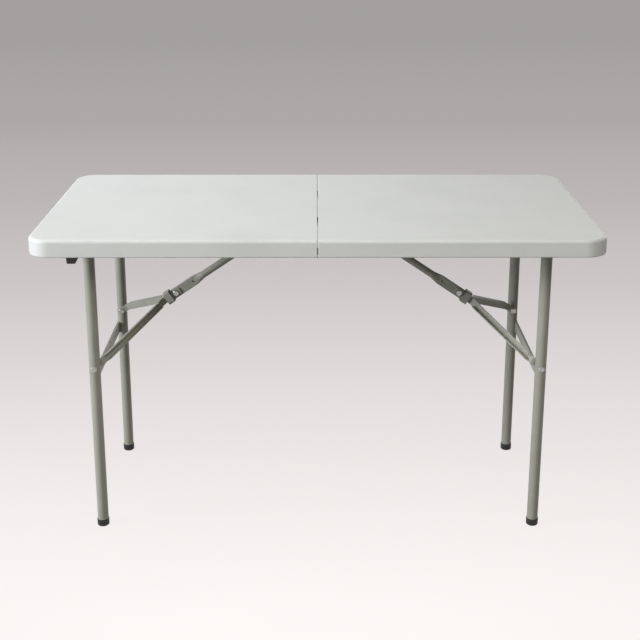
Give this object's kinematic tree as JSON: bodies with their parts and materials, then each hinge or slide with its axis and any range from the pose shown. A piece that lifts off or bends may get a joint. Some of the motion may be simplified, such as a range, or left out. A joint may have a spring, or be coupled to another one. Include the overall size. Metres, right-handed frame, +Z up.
{
  "type": "folding table",
  "caption": "Fold-in-half table with a blow-moulded plastic top in halves, plug-in tube legs and folding braces held by sliding lock rings.",
  "frame": {"origin": "on the floor under the centre of the opened top", "axes": "+X along the length to the right, +Y to the rear, +Z up"},
  "size_m": [1.22, 0.61, 0.72],
  "materials": {
    "top_plastic": "fine pebbled white polyethylene",
    "grey_paint": "grey powder coat on steel tube",
    "zinc": "zinc plated steel",
    "black_plastic": "black moulded plastic"
  },
  "bodies": {
    "left_half": {"left_top": "top_plastic", "left_front_leg_saddle": "grey_paint", "left_rear_leg_saddle": "grey_paint", "left_strut_bracket": "grey_paint", "left_strut_pin": "zinc", "left_hinge_leaves": "zinc", "hinge_pins": "zinc", "closing_clip": "black_plastic"},
    "left_leg_frame": {"left_leg_pivot_tube": "grey_paint", "left_front_upper_leg": "grey_paint", "left_rear_upper_leg": "grey_paint", "left_leg_rivets": "zinc", "left_brace_crossbar": "grey_paint"},
    "left_strut": {"left_brace_strut": "grey_paint"},
    "left_arms": {"left_front_brace_arm": "grey_paint", "left_rear_brace_arm": "grey_paint", "left_brace_rivet": "zinc", "left_arm_rivets": "zinc"},
    "left_ring": {"left_lock_ring": "grey_paint"},
    "left_front_foot": {"left_front_lower_leg": "grey_paint", "left_front_foot_cap": "black_plastic"},
    "left_rear_foot": {"left_rear_lower_leg": "grey_paint", "left_rear_foot_cap": "black_plastic"},
    "right_half": {"right_top": "top_plastic", "right_front_leg_saddle": "grey_paint", "right_rear_leg_saddle": "grey_paint", "right_strut_bracket": "grey_paint", "right_strut_pin": "zinc", "right_hinge_leaves": "zinc"},
    "right_leg_frame": {"right_leg_pivot_tube": "grey_paint", "right_front_upper_leg": "grey_paint", "right_rear_upper_leg": "grey_paint", "right_leg_rivets": "zinc", "right_brace_crossbar": "grey_paint"},
    "right_strut": {"right_brace_strut": "grey_paint"},
    "right_arms": {"right_front_brace_arm": "grey_paint", "right_rear_brace_arm": "grey_paint", "right_brace_rivet": "zinc", "right_arm_rivets": "zinc"},
    "right_ring": {"right_lock_ring": "grey_paint"},
    "right_front_foot": {"right_front_lower_leg": "grey_paint", "right_front_foot_cap": "black_plastic"},
    "right_rear_foot": {"right_rear_lower_leg": "grey_paint", "right_rear_foot_cap": "black_plastic"}
  },
  "joints": [
    {"name": "centre_fold", "type": "hinge", "parent": "left_half", "child": "right_half", "pos_m": [0, 0, 0.678], "axis": [0, -1, 0], "range_deg": [-60, 0]},
    {"name": "left_leg_fold", "type": "hinge", "parent": "left_half", "child": "left_leg_frame", "pos_m": [-0.499, 0, 0.694], "axis": [0, -1, 0], "range_deg": [0, 90]},
    {"name": "left_strut_swing", "type": "hinge", "parent": "left_half", "child": "left_strut", "pos_m": [-0.053, 0, 0.696], "axis": [0, -1, 0], "range_deg": [-34.29, 0]},
    {"name": "left_arms_fold", "type": "hinge", "parent": "left_strut", "child": "left_arms", "pos_m": [-0.33549, 0, 0.50345], "axis": [0, -1, 0], "range_deg": [0, 179.43]},
    {"name": "left_ring_slide", "type": "slide", "parent": "left_strut", "child": "left_ring", "axis": [0.8263, 0, 0.5632], "range_m": [0, 0.3001]},
    {"name": "left_front_leg_pull", "type": "slide", "parent": "left_leg_frame", "child": "left_front_foot", "axis": [0, 0, 1], "range_m": [-0.06, 0]},
    {"name": "left_rear_leg_pull", "type": "slide", "parent": "left_leg_frame", "child": "left_rear_foot", "axis": [0, 0, 1], "range_m": [-0.06, 0]},
    {"name": "right_leg_fold", "type": "hinge", "parent": "right_half", "child": "right_leg_frame", "pos_m": [0.499, 0, 0.694], "axis": [0, 1, 0], "range_deg": [0, 84]},
    {"name": "right_strut_swing", "type": "hinge", "parent": "right_half", "child": "right_strut", "pos_m": [0.053, 0, 0.696], "axis": [0, 1, 0], "range_deg": [-33.06, 0]},
    {"name": "right_arms_fold", "type": "hinge", "parent": "right_strut", "child": "right_arms", "pos_m": [0.33549, 0, 0.50345], "axis": [0, 1, 0], "range_deg": [0, 171.16]},
    {"name": "right_ring_slide", "type": "slide", "parent": "right_strut", "child": "right_ring", "axis": [-0.8263, 0, 0.5632], "range_m": [0, 0.2801]},
    {"name": "right_front_leg_pull", "type": "slide", "parent": "right_leg_frame", "child": "right_front_foot", "axis": [0, 0, 1], "range_m": [-0.06, 0]},
    {"name": "right_rear_leg_pull", "type": "slide", "parent": "right_leg_frame", "child": "right_rear_foot", "axis": [0, 0, 1], "range_m": [-0.06, 0]}
  ],
  "couplings": [
    {"joint": "left_strut_swing", "follows": "left_leg_fold", "ratio": -0.38088},
    {"joint": "left_arms_fold", "follows": "left_leg_fold", "ratio": 1.9936},
    {"joint": "left_ring_slide", "follows": "left_leg_fold", "m_per_rad": 0.19099},
    {"joint": "right_strut_swing", "follows": "right_leg_fold", "ratio": -0.3934},
    {"joint": "right_arms_fold", "follows": "right_leg_fold", "ratio": 2.0376},
    {"joint": "right_ring_slide", "follows": "right_leg_fold", "m_per_rad": 0.19099}
  ]
}
